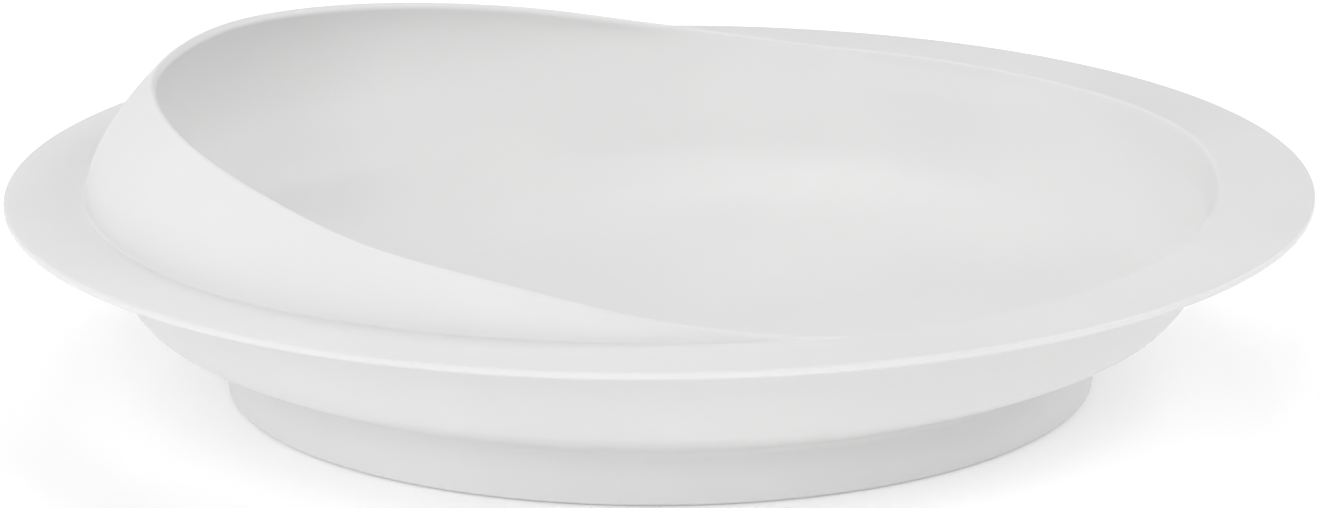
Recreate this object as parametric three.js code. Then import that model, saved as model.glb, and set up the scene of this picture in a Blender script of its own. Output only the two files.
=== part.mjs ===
// Scoop dish: a round, high-sided feeding dish on a ring foot, with a rubber ring that stops it sliding.
// Millimetres, +Z up. The origin is the centre of the underside, on the table that the dish stands on.
// The high back wall stands at -X, and the dish is mirror-symmetric about the XZ plane.
// Two pieces: the one-piece moulding (bowl, flange, back wall and ring foot) and the rubber ring
// that sits in a groove in the foot and is the only piece that meets the table.
import * as THREE from "three";

// ---- driving dimensions ----
const DISH_R = 101.6; // outer radius of the flange
const FLANGE_Z = 31.1; // height of the flange's outer top edge above the table
const FLANGE_T = 1.3; // thickness of the flange at its outer edge
const FLANGE_EDGE_R = 0.35; // rounding of the flange's outer edge on top
const FLANGE_UNDER_R = 0.65; // and underneath
const LIP_R = 0.72; // half the thickness of the rounded rim
const CREASE_FILLET = 0.5; // between the back wall and the flange
const WALL_PULL = 0.79; // shape of the back wall's outer face: 1 keeps it upright further up
const WALL_ROOT = 1.5; // how much thicker the wall is at its root than the rest of the bowl's side
const WALL_MID = 0.41; // where its bend is, as a share of its height
const FLOOR_Z = 7.5; // height of the bowl's floor at the centre
const RECESS_Z = 5.1; // height of the underside at the centre
const FOOT_R = 67.5; // outer radius of the ring foot at its bottom
const FOOT_INNER_R = 61.7;
const FOOT_LIFT = 0.3; // the rubber ring stands this far below the foot's hard edge
const FOOT_BOTTOM_ROUND = 0.35;
const GROOVE_R0 = 62.9; // groove for the rubber ring
const GROOVE_R1 = 66.1;
const GROOVE_DEPTH = 2.4;
const RING_CLEAR = 0.3;
const SEGMENTS = 72;

// Rim, every 15 degrees from the middle of the back wall (0) to the opposite side (180): apex radius and height above the flange's edge.
const RIM_R = [78.45, 78.43, 79.6, 81.75, 84.85, 85.9, 87.75, 89.4, 89.2, 88.7, 88.1, 87.65, 87.1];
const RIM_Z = [17.33, 17.08, 16.22, 14.1, 11.09, 7.85, 3.7, 0.75, 0.35, 0.4, 0.95, 1.35, 1.75];
// Where the back wall's outer face meets the flange, at the same angles.
const CREASE_R = [89.0, 89.2, 89.5, 89.8, 89.35, 89.0, 89.3, 90.2, 90.2, 90.2, 90.2, 90.2, 90.2];
// Height of the flange's inner end above its outer edge, at the same angles.
const FLANGE_IN_Z = [0.75, 0.75, 0.7, 0.65, 0.7, 0.75, 0.7, 0.45, 0.3, 0.35, 0.85, 1.25, 1.65];

// Bowl's inside face from the centre to where the rim's own shape takes over, heights from the flange's edge.
const BOWL_IN = [
  [0, FLOOR_Z - FLANGE_Z],
  [20, -23.35],
  [40, -22.55],
  [55, -21.3],
  [64, -20.0],
  [70, -18.55],
  [75, -16.6],
  [78.6, -14.35],
  [81.2, -11.7],
  [83.1, -8.7],
  [84.9, -5.4],
];
// Bowl's outside face from under the flange to the foot.
const BOWL_OUT = [
  [93.9, -1.5],
  [91.8, -1.75],
  [90.35, -2.7],
  [89.15, -4.3],
  [87.75, -6.4],
  [85.55, -10.2],
  [83.95, -12.95],
  [82.5, -15.0],
  [80.7, -16.85],
  [77.9, -18.35],
  [74.6, -19.7],
  [70.6, -21.2],
  [69.0, -21.95],
];

// Cubic through evenly spaced values, level at both ends, so that the rim is smooth across the plane of symmetry.
function splineAt(values, u) {
  const n = values.length;
  const i = Math.min(Math.max(Math.floor(u), 0), n - 2);
  const t = u - i;
  const v = (k) => values[k < 0 ? -k : k > n - 1 ? 2 * (n - 1) - k : k];
  const m0 = (v(i + 1) - v(i - 1)) / 2,
    m1 = (v(i + 2) - v(i)) / 2;
  const t2 = t * t,
    t3 = t2 * t;
  return (2 * t3 - 3 * t2 + 1) * v(i) + (t3 - 2 * t2 + t) * m0 + (-2 * t3 + 3 * t2) * v(i + 1) + (t3 - t2) * m1;
}

function bezier(p0, p1, p2, p3, t) {
  const s = 1 - t;
  const w = [s * s * s, 3 * s * s * t, 3 * s * t * t, t * t * t];
  return [0, 1].map((k) => w[0] * p0[k] + w[1] * p1[k] + w[2] * p2[k] + w[3] * p3[k]);
}

function smoothstep(a, b, x) {
  const t = Math.min(Math.max((x - a) / (b - a), 0), 1);
  return t * t * (3 - 2 * t);
}

// Points along a path, spread evenly over its length and its turning, so that tight curves get more of them.
function resample(path, count, perRadian) {
  const m = [0];
  for (let i = 1; i < path.length; i++) {
    const [ax, ay] = path[i - 1],
      [bx, by] = path[i];
    let turn = 0;
    if (i + 1 < path.length) {
      const d = Math.atan2(path[i + 1][1] - by, path[i + 1][0] - bx) - Math.atan2(by - ay, bx - ax);
      turn = Math.abs(Math.atan2(Math.sin(d), Math.cos(d)));
    }
    m.push(m[i - 1] + Math.hypot(bx - ax, by - ay) + perRadian * turn);
  }
  const out = [];
  for (let k = 1; k <= count; k++) {
    const want = (m[m.length - 1] * k) / count;
    let i = 1;
    while (i < m.length - 1 && m[i] < want) i++;
    const t = (want - m[i - 1]) / (m[i] - m[i - 1]);
    out.push([0, 1].map((q) => path[i - 1][q] + (path[i][q] - path[i - 1][q]) * Math.min(t, 1)));
  }
  return out;
}

function arc(centre, radius, from, to, steps) {
  const out = [];
  for (let i = 0; i <= steps; i++) {
    const t = from + ((to - from) * i) / steps;
    out.push([centre[0] + radius * Math.cos(t), centre[1] + radius * Math.sin(t)]);
  }
  return out;
}

// Closed half-section of the moulding, at an angle from the middle of the back wall: from the axis on the bowl's
// floor, up the inside, over the rim, down the outside, round the flange, down to the foot and back to the axis.
function section(degrees) {
  const u = degrees / 15;
  const rimR = splineAt(RIM_R, u),
    rimZ = splineAt(RIM_Z, u),
    flangeIn = splineAt(FLANGE_IN_Z, u),
    wallR = splineAt(CREASE_R, u);
  const c = [rimR, rimZ - LIP_R];
  // The flange's top is a straight line from its outer edge, rising inward by its tilt; t runs outward along it and n is its normal.
  const tilt = Math.atan2(flangeIn, DISH_R - Math.min(wallR, rimR + 1));
  const t = [Math.cos(tilt), -Math.sin(tilt)],
    n = [Math.sin(tilt), Math.cos(tilt)];
  const above = (c[0] - DISH_R) * n[0] + c[1] * n[1]; // rim centre's height over that line
  const F = CREASE_FILLET;
  const wall = smoothstep(0, 3.2, above - F);
  let lean = 0,
    rimEndAngle,
    outer;
  if (above > F) {
    // A back wall, upright at the flange and curving in to the rim.
    const creaseR = rimR + LIP_R + Math.max(wallR - rimR - LIP_R, 0.05) * smoothstep(0, 2.2, above - F);
    const zf = (F - n[0] * (creaseR + F - DISH_R)) / n[1];
    let end, mid;
    for (let k = 0; k < 60; k++) {
      end = [c[0] + LIP_R * Math.cos(lean), c[1] + LIP_R * Math.sin(lean)];
      mid = [creaseR - (1 - WALL_PULL) * (creaseR - end[0]) * 0.5, zf + WALL_MID * (end[1] - zf)];
      lean += 0.5 * (Math.atan2(Math.max(mid[0] - end[0], 0), end[1] - mid[1]) - lean);
    }
    rimEndAngle = lean;
    outer = [];
    for (let i = 0; i <= 24; i++) {
      const s = i / 24;
      outer.push([0, 1].map((k) => (1 - s) ** 2 * end[k] + 2 * s * (1 - s) * mid[k] + s * s * [creaseR, zf][k]));
    }
    // The fillet takes off in the wall's own direction and touches the flange.
    const take = Math.atan2(mid[0] - creaseR, mid[1] - zf);
    const f = [creaseR + F * Math.cos(take), zf - F * Math.sin(take)];
    const h = (f[0] - DISH_R) * n[0] + f[1] * n[1] - F;
    outer.push(...arc([f[0] - n[0] * h, f[1] - n[1] * h], F, Math.PI - take, 1.5 * Math.PI - tilt, 8));
  } else {
    // No wall: the rim rolls straight into the flange through its fillet.
    const dx = Math.sqrt(Math.max((LIP_R + F) ** 2 - (F - above) ** 2, 0));
    const f = [c[0] + dx * t[0] + (F - above) * n[0], c[1] + dx * t[1] + (F - above) * n[1]];
    rimEndAngle = Math.atan2(F - above, dx) - tilt;
    outer = arc(f, F, rimEndAngle + Math.PI, 1.5 * Math.PI - tilt, 8);
  }
  const inLean = wall * lean - (1 - wall) * 0.42;
  const inNormal = Math.PI + inLean;
  const inEnd = [c[0] + LIP_R * Math.cos(inNormal), c[1] + LIP_R * Math.sin(inNormal)];
  // Inside of the bowl, then of the wall.
  // Under the back wall the bowl's side stands a little steeper and the wall is thicker at its root.
  const inner = new THREE.SplineCurve(
    BOWL_IN.map(([r, z]) => new THREE.Vector2(r - WALL_ROOT * wall * smoothstep(75, 85, r), z)),
  )
    .getPoints(10 * (BOWL_IN.length - 1))
    .map((q) => [q.x, q.y]);
  const a = inner[inner.length - 1],
    b = inner[inner.length - 2];
  const la = Math.hypot(a[0] - b[0], a[1] - b[1]);
  const ta = [(a[0] - b[0]) / la, (a[1] - b[1]) / la];
  const up = [-Math.sin(inLean), Math.cos(inLean)];
  const span = Math.hypot(inEnd[0] - a[0], inEnd[1] - a[1]);
  const k0 = 0.33 + 0.05 * wall,
    k1 = 0.33 + 0.02 * wall;
  for (let i = 1; i <= 24; i++)
    inner.push(
      bezier(
        a,
        [a[0] + ta[0] * span * k0, a[1] + ta[1] * span * k0],
        [inEnd[0] - up[0] * span * k1, inEnd[1] - up[1] * span * k1],
        inEnd,
        i / 24,
      ),
    );
  const p = [[0, inner[0][1]], ...resample(inner, 17, 14)];
  p.push(...arc(c, LIP_R, inNormal, rimEndAngle, 5).slice(1));
  // Down the outside and along the flange to its rounded edge.
  const er = FLANGE_EDGE_R;
  const ez = (-er + er * n[0]) / n[1];
  const edge = arc([DISH_R - er, ez], er, Math.PI / 2 - tilt, 0, 3);
  outer.push([(outer[outer.length - 1][0] + edge[0][0]) / 2, (outer[outer.length - 1][1] + edge[0][1]) / 2], edge[0]);
  p.push(...resample(outer, 12, 5));
  p.push(...edge.slice(1));
  const ur = FLANGE_UNDER_R;
  p.push(...arc([DISH_R - ur, -FLANGE_T + ur], ur, 0, -Math.PI / 2, 4));
  // underside
  for (const [r, z] of BOWL_OUT) p.push([r, z]);
  const bottom = FOOT_LIFT - FLANGE_Z;
  p.push([68.05, -22.65]);
  p.push([67.75, -23.6]);
  p.push([FOOT_R + 0.05, bottom + FOOT_BOTTOM_ROUND]);
  p.push([FOOT_R - FOOT_BOTTOM_ROUND, bottom]);
  p.push([GROOVE_R1, bottom]);
  p.push([GROOVE_R1, bottom + GROOVE_DEPTH]);
  p.push([GROOVE_R0, bottom + GROOVE_DEPTH]);
  p.push([GROOVE_R0, bottom]);
  p.push([FOOT_INNER_R + 0.4, bottom]);
  p.push([FOOT_INNER_R, bottom + 0.4]);
  p.push([FOOT_INNER_R - 0.3, -24.7]);
  p.push([FOOT_INNER_R - 1.5, -23.95]);
  p.push([45, -24.75]);
  p.push([22, -25.75]);
  p.push([0, RECESS_Z - FLANGE_Z]);
  return p.map(([r, z]) => [r, z + FLANGE_Z]);
}

// A revolved blank of the middle section, whose rows of points are then moved to the section at each angle.
function dishGeometry() {
  const blank = section(90);
  const g = new THREE.LatheGeometry(
    blank.map(([r, z]) => new THREE.Vector2(r, z)),
    SEGMENTS,
  );
  g.rotateX(Math.PI / 2); // the lathe's axis is +Y
  const pos = g.getAttribute("position");
  const n = blank.length;
  for (let s = 0; s <= SEGMENTS; s++) {
    const angle = ((s % SEGMENTS) * 2 * Math.PI) / SEGMENTS;
    const turn = (angle * 180) / Math.PI;
    const delta = turn > 180 ? 360 - turn : turn;
    const pts = section(delta);
    for (let j = 0; j < n; j++) {
      const [r, z] = pts[j];
      // angle 0 is -X
      pos.setXYZ(s * n + j, -r * Math.cos(angle), r * Math.sin(angle), z);
    }
  }
  g.deleteAttribute("normal");
  g.deleteAttribute("uv");
  return g;
}

function lathe(points) {
  const g = new THREE.LatheGeometry(points.slice().reverse().map(([r, z]) => new THREE.Vector2(r, z)), SEGMENTS);
  g.rotateX(Math.PI / 2);
  return g;
}

// Rubber ring: a plain band with chamfered corners, with a shallow drip line between its two treads.
function ringGeometry() {
  const r0 = GROOVE_R0 + RING_CLEAR,
    r1 = GROOVE_R1 - RING_CLEAR,
    top = FOOT_LIFT + GROOVE_DEPTH - RING_CLEAR,
    c = 0.25,
    m = (r0 + r1) / 2;
  return lathe([
    [r0, c],
    [r0, top - c],
    [r0 + c, top],
    [r1 - c, top],
    [r1, top - c],
    [r1, c],
    [r1 - c, 0],
    [m + 0.35, 0],
    [m, 0.3],
    [m - 0.35, 0],
    [r0 + c, 0],
    [r0, c],
  ]);
}

const group = new THREE.Group();

const dish = new THREE.Mesh(
  dishGeometry(),
  new THREE.MeshStandardMaterial({ color: 0xe9e9e7, roughness: 0.45, metalness: 0 }),
);
dish.name = "dish_moulding";
group.add(dish);

const ring = new THREE.Mesh(
  ringGeometry(),
  new THREE.MeshStandardMaterial({ color: 0xc9cacb, roughness: 0.85, metalness: 0 }),
);
ring.name = "non_skid_ring";
group.add(ring);

export default group;
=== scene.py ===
"""Scoop dish: the looks. Metres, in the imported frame: origin at the centre of the underside on the table, high back wall at -X."""

import math

import bmesh
import bpy
import numpy as np
from mathutils import Matrix, Vector


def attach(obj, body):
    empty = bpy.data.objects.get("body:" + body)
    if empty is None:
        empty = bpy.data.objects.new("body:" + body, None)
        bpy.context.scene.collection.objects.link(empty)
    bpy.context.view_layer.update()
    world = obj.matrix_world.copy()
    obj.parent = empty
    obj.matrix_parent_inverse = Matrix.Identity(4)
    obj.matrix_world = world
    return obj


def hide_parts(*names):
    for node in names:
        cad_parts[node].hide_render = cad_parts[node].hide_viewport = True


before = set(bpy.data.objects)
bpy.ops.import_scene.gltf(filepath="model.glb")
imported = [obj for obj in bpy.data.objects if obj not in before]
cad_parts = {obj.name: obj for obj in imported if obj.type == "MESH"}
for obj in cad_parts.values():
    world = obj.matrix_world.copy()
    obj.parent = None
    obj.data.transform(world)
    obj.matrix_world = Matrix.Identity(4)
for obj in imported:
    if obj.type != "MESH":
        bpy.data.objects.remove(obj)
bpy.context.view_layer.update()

# ------------------------------------------------------------------ dimensions, in mm, heights from the flange's outer edge
DISH_R = 101.6
FLANGE_Z = 31.1
FLANGE_T = 1.3
EDGE_R = 0.35
EDGE_UNDER_R = 0.65
LIP_R = 0.72
FILLET = 0.5
WALL_PULL = 0.79
WALL_MID = 0.41
FLOOR_Z = 7.5
RECESS_Z = 5.1
FOOT_R = 67.5
FOOT_INNER_R = 61.7
FOOT_LIFT = 0.3
FOOT_ROUND = 0.35
GROOVE_R0, GROOVE_R1, GROOVE_DEPTH = 62.9, 66.1, 2.4

RIM_R = [78.45, 78.43, 79.6, 81.75, 84.85, 85.9, 87.75, 89.4, 89.2, 88.7, 88.1, 87.65, 87.1]
RIM_Z = [17.31, 17.07, 16.22, 14.1, 11.09, 7.85, 3.7, 0.75, 0.35, 0.4, 0.95, 1.35, 1.75]
CREASE_R = [89.0, 89.2, 89.5, 89.8, 89.35, 89.0, 89.3, 90.2, 90.2, 90.2, 90.2, 90.2, 90.2]
FLANGE_IN_Z = [0.75, 0.75, 0.7, 0.65, 0.7, 0.75, 0.7, 0.45, 0.3, 0.35, 0.85, 1.25, 1.65]
BOWL_IN = [
    (0, FLOOR_Z - FLANGE_Z),
    (20, -23.35),
    (40, -22.55),
    (55, -21.3),
    (64, -20.0),
    (70, -18.55),
    (75, -16.6),
    (78.6, -14.35),
    (81.2, -11.7),
    (83.1, -8.7),
    (84.9, -5.4),
]
BOWL_OUT = [
    (97.6, -1.37),
    (93.9, -1.5),
    (91.8, -1.75),
    (90.35, -2.7),
    (89.15, -4.3),
    (87.75, -6.4),
    (85.55, -10.2),
    (83.95, -12.95),
    (82.5, -15.0),
    (80.7, -16.85),
    (77.9, -18.35),
    (74.6, -19.7),
    (70.6, -21.2),
    (69.0, -21.95),
]

COLUMNS = 360


# ------------------------------------------------------------------ section of the moulding
def spline_at(v, u):
    n = len(v)
    i = min(max(int(math.floor(u)), 0), n - 2)
    t = u - i

    def g(k):
        return v[-k if k < 0 else (2 * (n - 1) - k if k > n - 1 else k)]

    m0, m1 = (g(i + 1) - g(i - 1)) / 2, (g(i + 2) - g(i)) / 2
    return (
        (2 * t**3 - 3 * t * t + 1) * g(i)
        + (t**3 - 2 * t * t + t) * m0
        + (-2 * t**3 + 3 * t * t) * g(i + 1)
        + (t**3 - t * t) * m1
    )


def smooth(a, b, x):
    t = min(max((x - a) / (b - a), 0.0), 1.0)
    return t * t * (3 - 2 * t)


def arc(c, r, a, b, steps):
    t = np.linspace(a, b, steps + 1)
    return np.stack([c[0] + r * np.cos(t), c[1] + r * np.sin(t)], 1)


def catmull(points, per=8, first=None, last=None):
    p = np.array(points, float)
    a = p[0] if first is None else np.array(first, float)
    b = p[-1] if last is None else np.array(last, float)
    p = np.vstack([a, p, b])
    out = []
    for i in range(1, len(p) - 2):
        p0, p1, p2, p3 = p[i - 1 : i + 3]
        for t in np.linspace(0, 1, per, endpoint=False):
            out.append(
                0.5
                * (
                    2 * p1
                    + (p2 - p0) * t
                    + (2 * p0 - 5 * p1 + 4 * p2 - p3) * t**2
                    + (3 * p1 - p0 - 3 * p2 + p3) * t**3
                )
            )
    out.append(p[-2])
    return np.array(out)


def resample(path, count, per_radian, closed_start=True):
    """count points along the path, spread evenly over its length and its turning, without the first."""
    d = np.diff(path, axis=0)
    length = np.hypot(d[:, 0], d[:, 1])
    keep = np.concatenate([[True], length > 2e-3])
    path = path[keep]
    d = np.diff(path, axis=0)
    length = np.hypot(d[:, 0], d[:, 1])
    ang = np.unwrap(np.arctan2(d[:, 1], d[:, 0]))
    turn = np.zeros(len(length))
    k = np.abs(np.diff(ang))
    turn[:-1] += k / 2
    turn[1:] += k / 2
    m = np.concatenate([[0], np.cumsum(length + per_radian * turn)])
    want = np.linspace(0, m[-1], count + 1)[1:]
    return np.stack([np.interp(want, m, path[:, 0]), np.interp(want, m, path[:, 1])], 1)


N_INNER, N_LIP, N_OUTER, N_EDGE = 84, 16, 64, 6


def section(deg):
    """(r, z) round the moulding's half-section, from the axis on the floor to the axis on the underside."""
    u = deg / 15
    rim_r, rim_z, fl = spline_at(RIM_R, u), spline_at(RIM_Z, u), spline_at(FLANGE_IN_Z, u)
    crease_r = spline_at(CREASE_R, u)
    c = np.array([rim_r, rim_z - LIP_R])
    tilt = math.atan2(fl, DISH_R - min(crease_r, rim_r + 1))
    t = np.array([math.cos(tilt), -math.sin(tilt)])
    n = np.array([math.sin(tilt), math.cos(tilt)])
    above = (c[0] - DISH_R) * n[0] + c[1] * n[1]
    wall = smooth(0, 3.2, above - FILLET)
    lean = 0.0
    if above > FILLET:
        crease = rim_r + LIP_R + max(crease_r - rim_r - LIP_R, 0.05) * smooth(0, 2.2, above - FILLET)
        zf = (FILLET - n[0] * (crease + FILLET - DISH_R)) / n[1]
        for _ in range(60):
            end = c + LIP_R * np.array([math.cos(lean), math.sin(lean)])
            mid = np.array(
                [
                    crease - (1 - WALL_PULL) * (crease - end[0]) * 0.5,
                    zf + WALL_MID * (end[1] - zf),
                ]
            )
            lean += 0.5 * (math.atan2(max(mid[0] - end[0], 0), end[1] - mid[1]) - lean)
        foot = np.array([crease, zf])
        # the fillet takes off from the wall's own direction at its foot
        down = foot - mid
        take = math.atan2(-down[0], -down[1])  # lean of the wall at its foot, 0 upright
        s = np.linspace(0, 1, 49)[:, None]
        outer = (1 - s) ** 2 * end + 2 * s * (1 - s) * mid + s * s * foot
        # fillet circle: touches the wall's foot and the flange
        centre = foot + FILLET * np.array([math.cos(take), -math.sin(take)])
        h = (centre[0] - DISH_R) * n[0] + centre[1] * n[1]
        centre = centre - n * (h - FILLET)
        outer = np.vstack([outer[:-1], arc(centre, FILLET, math.pi - take, 1.5 * math.pi - tilt, 16)])
        rim_end = lean
    else:
        dx = math.sqrt(max((LIP_R + FILLET) ** 2 - (FILLET - above) ** 2, 0))
        f = c + dx * t + (FILLET - above) * n
        rim_end = math.atan2(FILLET - above, dx) - tilt
        outer = arc(f, FILLET, rim_end + math.pi, 1.5 * math.pi - tilt, 16)
    in_lean = wall * lean - (1 - wall) * 0.42
    in_normal = math.pi + in_lean
    in_end = c + LIP_R * np.array([math.cos(in_normal), math.sin(in_normal)])
    # under the back wall the bowl's side stands a little steeper and the wall is thicker at its root
    steep = [(r - 1.5 * wall * smooth(75, 85, r), z) for r, z in BOWL_IN]
    inner = catmull(steep, 12, first=(-20, -23.35))
    a, b = inner[-1], inner[-2]
    ta = (a - b) / np.linalg.norm(a - b)
    up = np.array([-math.sin(in_lean), math.cos(in_lean)])
    span = np.linalg.norm(in_end - a)
    k0, k1 = 0.33 + 0.05 * wall, 0.33 + 0.02 * wall
    s = np.linspace(0, 1, 49)[1:, None]
    p1, p2 = a + ta * span * k0, in_end - up * span * k1
    inner = np.vstack(
        [inner, (1 - s) ** 3 * a + 3 * s * (1 - s) ** 2 * p1 + 3 * s * s * (1 - s) * p2 + s**3 * in_end]
    )
    rows = [np.array([[0.0, inner[0][1]]]), resample(inner, N_INNER, 18)]
    rows.append(arc(c, LIP_R, in_normal, rim_end, N_LIP)[1:])
    ez = (-EDGE_R + EDGE_R * n[0]) / n[1]
    edge = arc((DISH_R - EDGE_R, ez), EDGE_R, math.pi / 2 - tilt, 0, N_EDGE)
    last, far = outer[-1], edge[0]
    line = last + (far - last) * np.linspace(0, 1, 20)[1:, None]
    rows.append(resample(np.vstack([outer, line]), N_OUTER, 6))
    rows.append(edge[1:])
    # a mould parting line runs round the middle of the flange's edge
    lower = arc((DISH_R - EDGE_UNDER_R, -FLANGE_T + EDGE_UNDER_R), EDGE_UNDER_R, 0, -math.pi / 2, 12)
    rows.append(np.array([[DISH_R - 0.025, lower[0][1] + 0.02], [DISH_R - 0.025, lower[0][1] - 0.04]]))
    rows.append(lower[1:])
    rows.append(UNDER)
    return np.vstack(rows)


def underside():
    """(r, z) from under the flange to the axis, the same all round."""
    bottom = FOOT_LIFT - FLANGE_Z
    out = list(catmull([(DISH_R - EDGE_UNDER_R - 0.01, -FLANGE_T)] + BOWL_OUT, 7))[1:]
    # soft fillet into the foot
    out += list(catmull([(69.0, -21.95), (68.25, -22.5), (67.82, -23.35), (67.72, -24.4)], 4, first=(70.6, -21.2), last=(67.7, -25.0)))[1:]
    out += [(67.66, -26.0), (67.6, -28.0), (FOOT_R + 0.02, -29.6)]
    out += list(arc((FOOT_R - FOOT_ROUND, bottom + FOOT_ROUND), FOOT_ROUND, 0, -math.pi / 2, 5))
    c = 0.18
    out += [
        (GROOVE_R1 + c, bottom),
        (GROOVE_R1, bottom + c),
        (GROOVE_R1, bottom + GROOVE_DEPTH - 0.2),
        (GROOVE_R1 - 0.2, bottom + GROOVE_DEPTH),
        (GROOVE_R0 + 0.2, bottom + GROOVE_DEPTH),
        (GROOVE_R0, bottom + GROOVE_DEPTH - 0.2),
        (GROOVE_R0, bottom + c),
        (GROOVE_R0 - c, bottom),
    ]
    out += list(arc((FOOT_INNER_R + 0.35, bottom + 0.35), 0.35, -math.pi / 2, -math.pi, 4))
    out += [(FOOT_INNER_R - 0.1, -28.0), (FOOT_INNER_R - 0.25, -25.9)]
    out += list(arc((FOOT_INNER_R - 1.75, -25.3), 1.5, 0, math.pi / 2, 6))[0:]
    out += [(58.0, -23.86), (54.0, -24.08), (45.0, -24.72), (34.0, -25.32), (22.0, -25.75), (14.0, -25.92)]
    # sprue mark in the middle: a shallow ring with a low nub
    out += [(7.4, -25.98), (7.1, -25.96), (6.8, -25.78), (6.4, -25.7), (3.0, -25.7), (1.6, -25.72), (1.3, -25.86), (1.0, -25.93), (0.5, -25.95)]
    out.append((0.0, -25.95))
    return np.array(out, float)


UNDER = underside()


def revolve_sections(name, sections, angles):
    """A closed skin through sections whose first and last points lie on the axis."""
    n = len(sections[0])
    verts, faces = [], []
    verts.append((0, 0, sections[0][0][1]))
    for sec, a in zip(sections, angles, strict=True):
        ca, sa = math.cos(a), math.sin(a)
        for r, z in sec[1:-1]:
            verts.append((-r * ca, r * sa, z))
    verts.append((0, 0, sections[0][-1][1]))
    top, bottom, m = 0, len(verts) - 1, n - 2
    k = len(angles)
    for s in range(k):
        s2 = (s + 1) % k
        a0, b0 = 1 + s * m, 1 + s2 * m
        faces.append((top, b0, a0))
        for j in range(m - 1):
            faces.append((a0 + j, b0 + j, b0 + j + 1, a0 + j + 1))
        faces.append((bottom, a0 + m - 1, b0 + m - 1))
    mesh = bpy.data.meshes.new(name)
    mesh.from_pydata([Vector(v) / 1000 for v in verts], [], faces)
    mesh.update()
    return mesh


def finish_mesh(mesh, name, sharp_degrees=50):
    bm = bmesh.new()
    bm.from_mesh(mesh)
    bmesh.ops.recalc_face_normals(bm, faces=bm.faces)
    limit = math.radians(sharp_degrees)
    for e in bm.edges:
        e.smooth = not (len(e.link_faces) == 2 and e.calc_face_angle(0) > limit)
    for f in bm.faces:
        f.smooth = True
    bm.to_mesh(mesh)
    bm.free()
    obj = bpy.data.objects.new(name, mesh)
    bpy.context.scene.collection.objects.link(obj)
    return obj


def make_dish():
    angles = [2 * math.pi * i / COLUMNS for i in range(COLUMNS)]
    cache = {}
    sections = []
    for i in range(COLUMNS):
        d = 360.0 * i / COLUMNS
        d = 360 - d if d > 180 else d
        key = round(d, 6)
        if key not in cache:
            cache[key] = section(d) + np.array([0, FLANGE_Z])
        sections.append(cache[key])
    return finish_mesh(revolve_sections("dish", sections, angles), "dish")


def make_ring():
    """Rubber ring: a band that fills its groove, with two ribs on its tread cut across by fine notches."""
    r0, r1 = GROOVE_R0 + 0.06, GROOVE_R1 - 0.06
    top = FOOT_LIFT + GROOVE_DEPTH - 0.25
    m = (r0 + r1) / 2
    prof = [(r0, 0.55), (r0, top - 0.25), (r0 + 0.25, top), (r1 - 0.25, top), (r1, top - 0.25), (r1, 0.55)]
    # tread, from the outer side to the inner: chamfer, rib, groove, rib, chamfer
    tread = [
        (r1 - 0.04, 0.34, 0),
        (r1 - 0.22, 0.08, 1),
        (r1 - 0.42, 0.0, 1),
        (m + 0.42, 0.0, 1),
        (m + 0.26, 0.08, 1),
        (m + 0.14, 0.34, 0),
        (m - 0.14, 0.34, 0),
        (m - 0.26, 0.08, 1),
        (m - 0.42, 0.0, 1),
        (r0 + 0.42, 0.0, 1),
        (r0 + 0.22, 0.08, 1),
        (r0 + 0.04, 0.34, 0),
    ]
    k = 720
    n = len(prof) + len(tread)
    verts, faces = [], []
    for i in range(k):
        a = 2 * math.pi * i / k
        lift = 0.22 if i % 5 == 0 else 0.0  # a notch every 2.5 degrees
        pts = [(r, z) for r, z in prof] + [(r, max(z, lift) if cut else z) for r, z, cut in tread]
        ca, sa = math.cos(a), math.sin(a)
        for r, z in pts:
            verts.append((-r * ca / 1000, r * sa / 1000, z / 1000))
    for i in range(k):
        i2 = (i + 1) % k
        for j in range(n):
            j2 = (j + 1) % n
            faces.append((i * n + j, i * n + j2, i2 * n + j2, i2 * n + j))
    mesh = bpy.data.meshes.new("ring")
    mesh.from_pydata(verts, [], faces)
    mesh.update()
    return finish_mesh(mesh, "ring", 35)


# ------------------------------------------------------------------ materials
def new_material(name):
    mat = bpy.data.materials.new(name)
    mat.use_nodes = True
    nt = mat.node_tree
    for node in list(nt.nodes):
        nt.nodes.remove(node)
    out = nt.nodes.new("ShaderNodeOutputMaterial")
    bsdf = nt.nodes.new("ShaderNodeBsdfPrincipled")
    nt.links.new(bsdf.outputs[0], out.inputs[0])
    return mat, nt, bsdf


def node(nt, kind, **values):
    nd = nt.nodes.new(kind)
    for k, v in values.items():
        setattr(nd, k, v)
    return nd


def noise(nt, coord, scale, detail=3.0, rough=0.5):
    nd = node(nt, "ShaderNodeTexNoise")
    nd.inputs["Scale"].default_value = scale
    nd.inputs["Detail"].default_value = detail
    nd.inputs["Roughness"].default_value = rough
    nt.links.new(coord, nd.inputs["Vector"])
    return nd


def ramp(nt, value, a, b, ca, cb):
    nd = node(nt, "ShaderNodeMapRange")
    nd.inputs["From Min"].default_value = a
    nd.inputs["From Max"].default_value = b
    nd.inputs["To Min"].default_value = ca
    nd.inputs["To Max"].default_value = cb
    nt.links.new(value, nd.inputs["Value"])
    return nd.outputs["Result"]


def math_node(nt, op, a, b=None):
    nd = node(nt, "ShaderNodeMath", operation=op)
    for k, v in enumerate((a, b)):
        if v is None:
            continue
        if isinstance(v, (int, float)):
            nd.inputs[k].default_value = v
        else:
            nt.links.new(v, nd.inputs[k])
    return nd.outputs[0]


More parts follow.
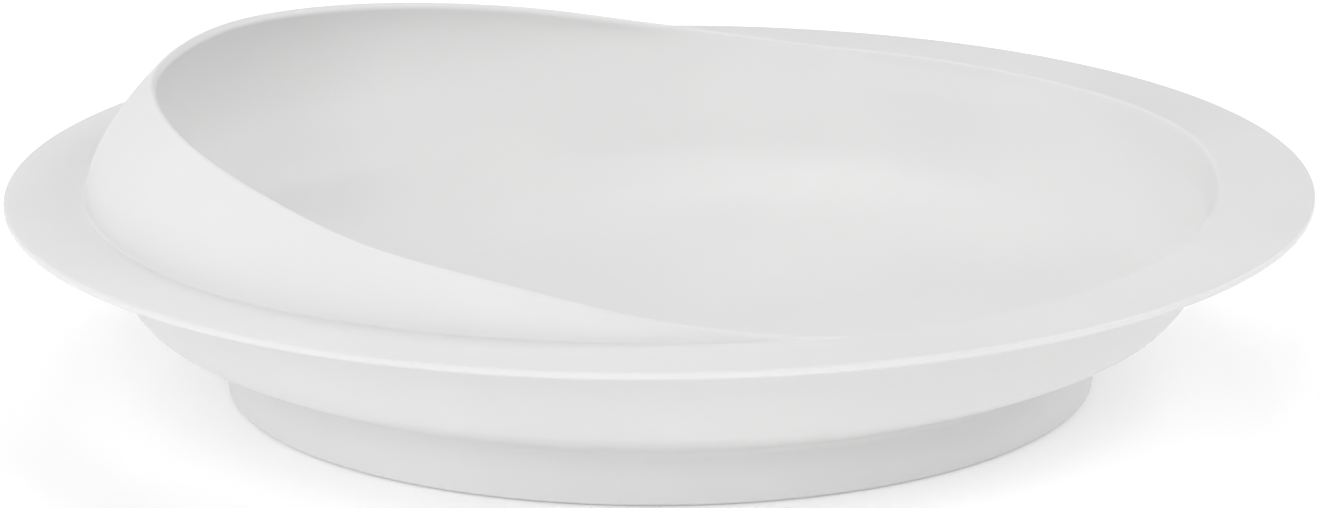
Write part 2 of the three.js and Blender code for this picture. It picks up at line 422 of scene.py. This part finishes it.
def dish_plastic():
    mat, nt, bsdf = new_material("dish_plastic")
    coord = node(nt, "ShaderNodeTexCoord").outputs["Object"]
    cloud = noise(nt, coord, 18.0, 2.0)
    mottle = noise(nt, coord, 140.0, 3.0, 0.6)
    # colour: neutral white, with the faintest cloudiness of thick and thin plastic
    mix = node(nt, "ShaderNodeMix", data_type="RGBA")
    mix.inputs["A"].default_value = (0.745, 0.748, 0.745, 1)
    mix.inputs["B"].default_value = (0.772, 0.772, 0.769, 1)
    nt.links.new(ramp(nt, cloud.outputs["Fac"], 0.35, 0.65, 0, 1), mix.inputs["Factor"])
    nt.links.new(mix.outputs["Result"], bsdf.inputs["Base Color"])
    rough = math_node(nt, "ADD", ramp(nt, mottle.outputs["Fac"], 0.3, 0.7, 0.40, 0.50), ramp(nt, cloud.outputs["Fac"], 0.3, 0.7, -0.02, 0.03))
    nt.links.new(rough, bsdf.inputs["Roughness"])
    # surface: fine orange peel of the mould
    peel = noise(nt, coord, 900.0, 2.0, 0.5)
    wave = noise(nt, coord, 60.0, 1.0, 0.4)
    height = math_node(nt, "ADD", math_node(nt, "MULTIPLY", peel.outputs["Fac"], 0.05), math_node(nt, "MULTIPLY", wave.outputs["Fac"], 0.35))
    bump = node(nt, "ShaderNodeBump")
    bump.inputs["Strength"].default_value = 0.12
    bump.inputs["Distance"].default_value = 0.0004
    nt.links.new(height, bump.inputs["Height"])
    nt.links.new(bump.outputs[0], bsdf.inputs["Normal"])
    bsdf.inputs["IOR"].default_value = 1.47
    bsdf.inputs["Specular IOR Level"].default_value = 0.45
    return mat


def ring_rubber():
    mat, nt, bsdf = new_material("ring_rubber")
    coord = node(nt, "ShaderNodeTexCoord").outputs["Object"]
    grain = noise(nt, coord, 700.0, 3.0, 0.6)
    cloud = noise(nt, coord, 40.0, 2.0)
    mix = node(nt, "ShaderNodeMix", data_type="RGBA")
    mix.inputs["A"].default_value = (0.55, 0.56, 0.57, 1)
    mix.inputs["B"].default_value = (0.64, 0.65, 0.66, 1)
    nt.links.new(ramp(nt, cloud.outputs["Fac"], 0.3, 0.7, 0, 1), mix.inputs["Factor"])
    nt.links.new(mix.outputs["Result"], bsdf.inputs["Base Color"])
    nt.links.new(ramp(nt, grain.outputs["Fac"], 0.3, 0.7, 0.72, 0.9), bsdf.inputs["Roughness"])
    bump = node(nt, "ShaderNodeBump")
    bump.inputs["Strength"].default_value = 0.35
    bump.inputs["Distance"].default_value = 0.0001
    nt.links.new(grain.outputs["Fac"], bump.inputs["Height"])
    nt.links.new(bump.outputs[0], bsdf.inputs["Normal"])
    return mat


def floor_material():
    mat, nt, bsdf = new_material("stage_floor")
    bsdf.inputs["Base Color"].default_value = (0.93, 0.93, 0.93, 1)
    bsdf.inputs["Roughness"].default_value = 0.9
    bsdf.inputs["Specular IOR Level"].default_value = 0.1
    # a light table: a little light comes up through the floor
    bsdf.inputs["Emission Color"].default_value = (1, 1, 1, 1)
    bsdf.inputs["Emission Strength"].default_value = 0.17
    return mat


# ------------------------------------------------------------------ build
dish = make_dish()
dish.data.materials.append(dish_plastic())
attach(dish, "root")
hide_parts("dish_moulding")

ring = make_ring()
ring.data.materials.append(ring_rubber())
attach(ring, "root")
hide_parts("non_skid_ring")

# ------------------------------------------------------------------ stage
fm = bpy.data.meshes.new("floor")
S = 30.0
fm.from_pydata([(-S, -S, 0), (S, -S, 0), (S, S, 0), (-S, S, 0)], [], [(0, 1, 2, 3)])
floor = bpy.data.objects.new("floor", fm)
floor.data.materials.append(floor_material())
bpy.context.scene.collection.objects.link(floor)

world = bpy.data.worlds.new("studio")
bpy.context.scene.world = world
world.use_nodes = True
wt = world.node_tree
for nd in list(wt.nodes):
    wt.nodes.remove(nd)
wo = wt.nodes.new("ShaderNodeOutputWorld")
wb = wt.nodes.new("ShaderNodeBackground")
wb.inputs[0].default_value = (1, 1, 1, 1)
wb.inputs[1].default_value = 0.06
# the studio's far wall looks as white as the floor
seen = wt.nodes.new("ShaderNodeBackground")
seen.inputs[0].default_value = (1, 1, 1, 1)
seen.inputs[1].default_value = 1.0
path = wt.nodes.new("ShaderNodeLightPath")
pick = wt.nodes.new("ShaderNodeMixShader")
wt.links.new(path.outputs["Is Camera Ray"], pick.inputs[0])
wt.links.new(wb.outputs[0], pick.inputs[1])
wt.links.new(seen.outputs[0], pick.inputs[2])
wt.links.new(pick.outputs[0], wo.inputs[0])


def area(name, azimuth, elevation, distance, size, watts):
    """A square softbox. Azimuth 0 is in front (-Y), 90 at the right (+X)."""
    a, e = math.radians(azimuth), math.radians(elevation)
    d = Vector((math.sin(a) * math.cos(e), -math.cos(a) * math.cos(e), math.sin(e)))
    light = bpy.data.lights.new(name, "AREA")
    light.shape = "SQUARE"
    light.size = size
    light.energy = watts
    o = bpy.data.objects.new(name, light)
    o.location = Vector((0, 0, 0.03)) + d * distance
    o.rotation_mode = "QUATERNION"
    o.rotation_quaternion = d.to_track_quat("Z", "Y")
    o.visible_camera = False
    bpy.context.scene.collection.objects.link(o)
    return o


# softboxes all round, as in a light tent: the strongest at the front left, the right side a little weaker
for i, (azimuth, elevation, watts) in enumerate(
    [
        (-110, 35, 3.9),
        (-120, 12, 3.4),
        (-150, 35, 2.0),
        (-20, 14, 4.6),
        (-20, 35, 7.8),
        (-50, 35, 2.8),
        (-80, 12, 1.8),
        (100, 35, 5.6),
        (120, 12, 4.9),
        (160, 14, 0.8),
        (180, 62, 6.6),
        (-160, 14, 2.2),
        (20, 35, 1.6),
        (60, 35, 5.1),
        (90, 62, 1.7),
    ]
):
    area("softbox_%02d" % i, azimuth, elevation, 1.6, 1.0, watts)

# ------------------------------------------------------------------ camera
R = DISH_R / 1000
ELEV, DIST, FOCAL_PX = math.radians(15.31), 11.208 * R, 7325.6
cam_data = bpy.data.cameras.new("camera")
cam = bpy.data.objects.new("camera", cam_data)
bpy.context.scene.collection.objects.link(cam)
cam_data.sensor_fit = "HORIZONTAL"
cam_data.sensor_width = 36.0
cam_data.lens = FOCAL_PX * 36.0 / 1320.0
centre = Vector((0, 0, FLANGE_Z / 1000))
look = Vector((0, math.cos(ELEV), -math.sin(ELEV)))
eye = centre - look * DIST
# the flange's centre lies at (659.6, 184.1) of the 1320 x 508 frame, and the frame is turned by 0.322 degrees
right = Vector((1, 0, 0))
up = right.cross(look)
dx, dy = (659.6 - 660.0), (184.1 - 254.0)
yaw, pitch = math.atan2(-dx, FOCAL_PX), math.atan2(dy, FOCAL_PX)
aim = (look + math.tan(yaw) * right + math.tan(pitch) * up).normalized()
r2 = aim.cross(Vector((0, 0, 1))).normalized()
u2 = r2.cross(aim)
ROLL = math.radians(0.322)
r3 = r2 * math.cos(ROLL) - u2 * math.sin(ROLL)
u3 = r3.cross(aim)
m = Matrix((r3, u3, -aim)).transposed()
cam.rotation_mode = "QUATERNION"
cam.rotation_quaternion = m.to_quaternion()
cam.location = eye
cam_data.clip_start, cam_data.clip_end = 0.05, 100
bpy.context.scene.camera = cam
bpy.context.scene.view_settings.view_transform = "Standard"
